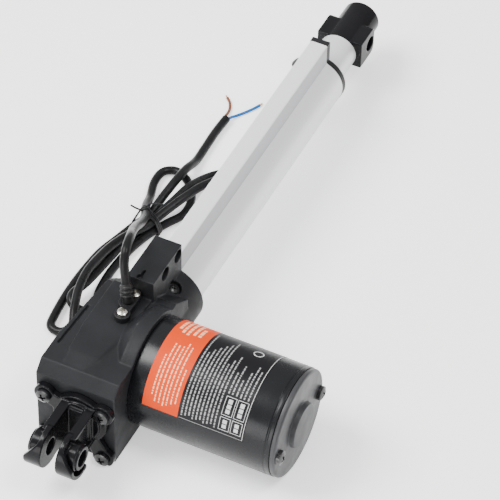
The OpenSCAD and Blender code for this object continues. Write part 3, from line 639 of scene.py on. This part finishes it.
def label_pattern():
    """Printed marks as (colour, y from, y to, arc from, arc to), in mm. Y runs along the motor, and the
    arc round it from the lower edge up. A later mark covers an earlier one."""
    marks = []
    for y, start, stop in HEADLINES:
        marks += printed_row(PALE, y, BOLD, start, stop, 2.0, 5.0)
    for y, start, stop in NOTES:
        marks += printed_row(PALE, y, SMALL, start, stop, 0.8, 3.2)
    # Close rows over the black part, each of its own length
    for i in range(10):
        start = 2.6 + (i % 3) * 0.8
        stop = 66.0 - (i * 37 % 13) * 1.8
        marks += printed_row(GREY, 57.2 + i * 2.4, SMALL, start, stop, 0.7, 3.0)
    for y in BOX_ROWS:
        for start, stop, blocks in BOX_SPANS:
            marks += printed_box(y, start, stop, blocks)
    for y, start, stop in SIDE_NOTES:
        marks += printed_row(GREY, y, SMALL, start, stop, 0.8, 3.0)
    for i in range(32):
        y = RING_AT + RING_R * math.cos(i * math.pi / 16)
        a = RING_ARC + RING_R * math.sin(i * math.pi / 16)
        marks.append((WHITE, y - RING_LINE, y + RING_LINE, a - RING_LINE, a + RING_LINE))
    # Thin border along the far end and the lower edge
    marks.append((WHITE, 97.6, 97.95, 0.9, 108.0))
    marks.append((GREY, 56.4, 97.9, 0.7, 1.0))
    return marks


def label_tones(rows, cols):
    """Colour of each dot of the label, by place round the motor and then along it."""
    def dots(low, high, count):
        return range(max(0, round(low / STEP)), min(count, round(high / STEP)))

    bands = [ORANGE if LABEL_FROM + (j + 0.5) * STEP < ORANGE_TO else BLACK for j in range(rows)]
    tone = [list(bands) for _ in range(cols)]
    for colour, y0, y1, a0, a1 in label_pattern():
        for i in dots(a0, a1, cols):
            for j in dots(y0 - LABEL_FROM, y1 - LABEL_FROM, rows):
                tone[i][j] = colour
    return tone


def label_mesh():
    """A thin sheet round the can, whose faces take the colour printed on them."""
    rows = round((LABEL_TO - LABEL_FROM) / STEP)
    cols = round(math.radians(LABEL_LOW - LABEL_HIGH) * LABEL_R / STEP)
    tone = label_tones(rows, cols)
    bm = bmesh.new()
    grid = []
    for i in range(cols + 1):
        a = math.radians(LABEL_LOW + (LABEL_HIGH - LABEL_LOW) * i / cols)
        x, y = LABEL_R * math.cos(a), LABEL_R * math.sin(a)
        heights = [LABEL_FROM + (LABEL_TO - LABEL_FROM) * j / rows for j in range(rows + 1)]
        grid.append([bm.verts.new(along_motor @ Vector((x, y, h)) * MM) for h in heights])
    for i in range(cols):
        for j in range(rows):
            f = bm.faces.new((grid[i][j], grid[i][j + 1], grid[i + 1][j + 1], grid[i + 1][j]))
            f.material_index = tone[i][j]
    bmesh.ops.recalc_face_normals(bm, faces=bm.faces)
    # Give the sheet its thickness by folding its border in to the can
    border = [e for e in bm.edges if len(e.link_faces) == 1]
    made = bmesh.ops.extrude_edge_only(bm, edges=border)
    centre = Vector((MOTOR_X, 0, MOTOR_Z)) * MM
    for v in (g for g in made["geom"] if isinstance(g, bmesh.types.BMVert)):
        out = Vector((v.co.x - centre.x, 0, v.co.z - centre.z))
        v.co -= out.normalized() * LABEL_FOLD * MM
    mesh = bpy.data.meshes.new("motor_print")
    bm.to_mesh(mesh)
    bm.free()
    return mesh


printed = [M[slot] for slot in ("label_orange", "label_black", "label_pale", "label_grey", "label_white")]
label = mesh_object("motor_print", label_mesh(), "housing", "label_print", printed)
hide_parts("motor_label")

# ---------------------------------------------------------------- stage and light

FLOOR_HALF = 4.0        # half the side of the floor, in metres
FLOOR_GAP = 0.02        # between the floor and the lowest piece
FLOOR_GLOW = 0.7        # white light that the floor gives off

bm = bmesh.new()
bmesh.ops.create_grid(bm, x_segments=1, y_segments=1, size=FLOOR_HALF)
floor_mesh = bpy.data.meshes.new("floor")
bm.to_mesh(floor_mesh)
bm.free()
floor = bpy.data.objects.new("floor", floor_mesh)
floor.location = (0.2, 0, (FLOOR - FLOOR_GAP) * MM)
paper = shader("floor_white", (0.9, 0.9, 0.9), 0.75, specular=0.1, mottle=0.004, mottle_scale=6)
paper_inputs = paper.node_tree.nodes["Principled BSDF"].inputs
paper_inputs["Emission Color"].default_value = (1, 1, 1, 1)
paper_inputs["Emission Strength"].default_value = FLOOR_GLOW
floor_mesh.materials.append(paper)
bpy.context.scene.collection.objects.link(floor)

# White all round, softer towards the horizon
world = bpy.data.worlds.new("world")
world.use_nodes = True
tree = world.node_tree
sky = tree.nodes["Background"]
sky.inputs["Color"].default_value = (1.0, 1.0, 1.0, 1)
direction = tree.nodes.new("ShaderNodeTexCoord")
height = tree.nodes.new("ShaderNodeSeparateXYZ")
fade = tree.nodes.new("ShaderNodeMapRange")
for key, value in (("From Min", 0.0), ("From Max", 0.85), ("To Min", 0.5), ("To Max", 1.2)):
    fade.inputs[key].default_value = value
tree.links.new(direction.outputs["Generated"], height.inputs["Vector"])
tree.links.new(height.outputs["Z"], fade.inputs["Value"])
tree.links.new(fade.outputs["Result"], sky.inputs["Strength"])
bpy.context.scene.world = world


def area_light(name, at, target, size, power):
    """Square light at one place, pointed at another."""
    d = bpy.data.lights.new(name, "AREA")
    d.shape = "RECTANGLE"
    d.size = size
    d.size_y = size
    d.energy = power
    o = bpy.data.objects.new(name, d)
    o.location = at
    o.rotation_euler = (Vector(target) - Vector(at)).to_track_quat("-Z", "Y").to_euler()
    bpy.context.scene.collection.objects.link(o)


area_light("key", (-0.4, 1.2, 1.8), (0.2, 0.0, 0.0), 1.1, 85)
area_light("side", (0.1, -0.9, 1.8), (0.1, 0.0, 0.0), 0.5, 20)
area_light("rear", (-1.7, 0.3, 0.35), (0.1, 0.0, 0.0), 0.9, 18)

# ---------------------------------------------------------------- end

bpy.context.view_layer.update()
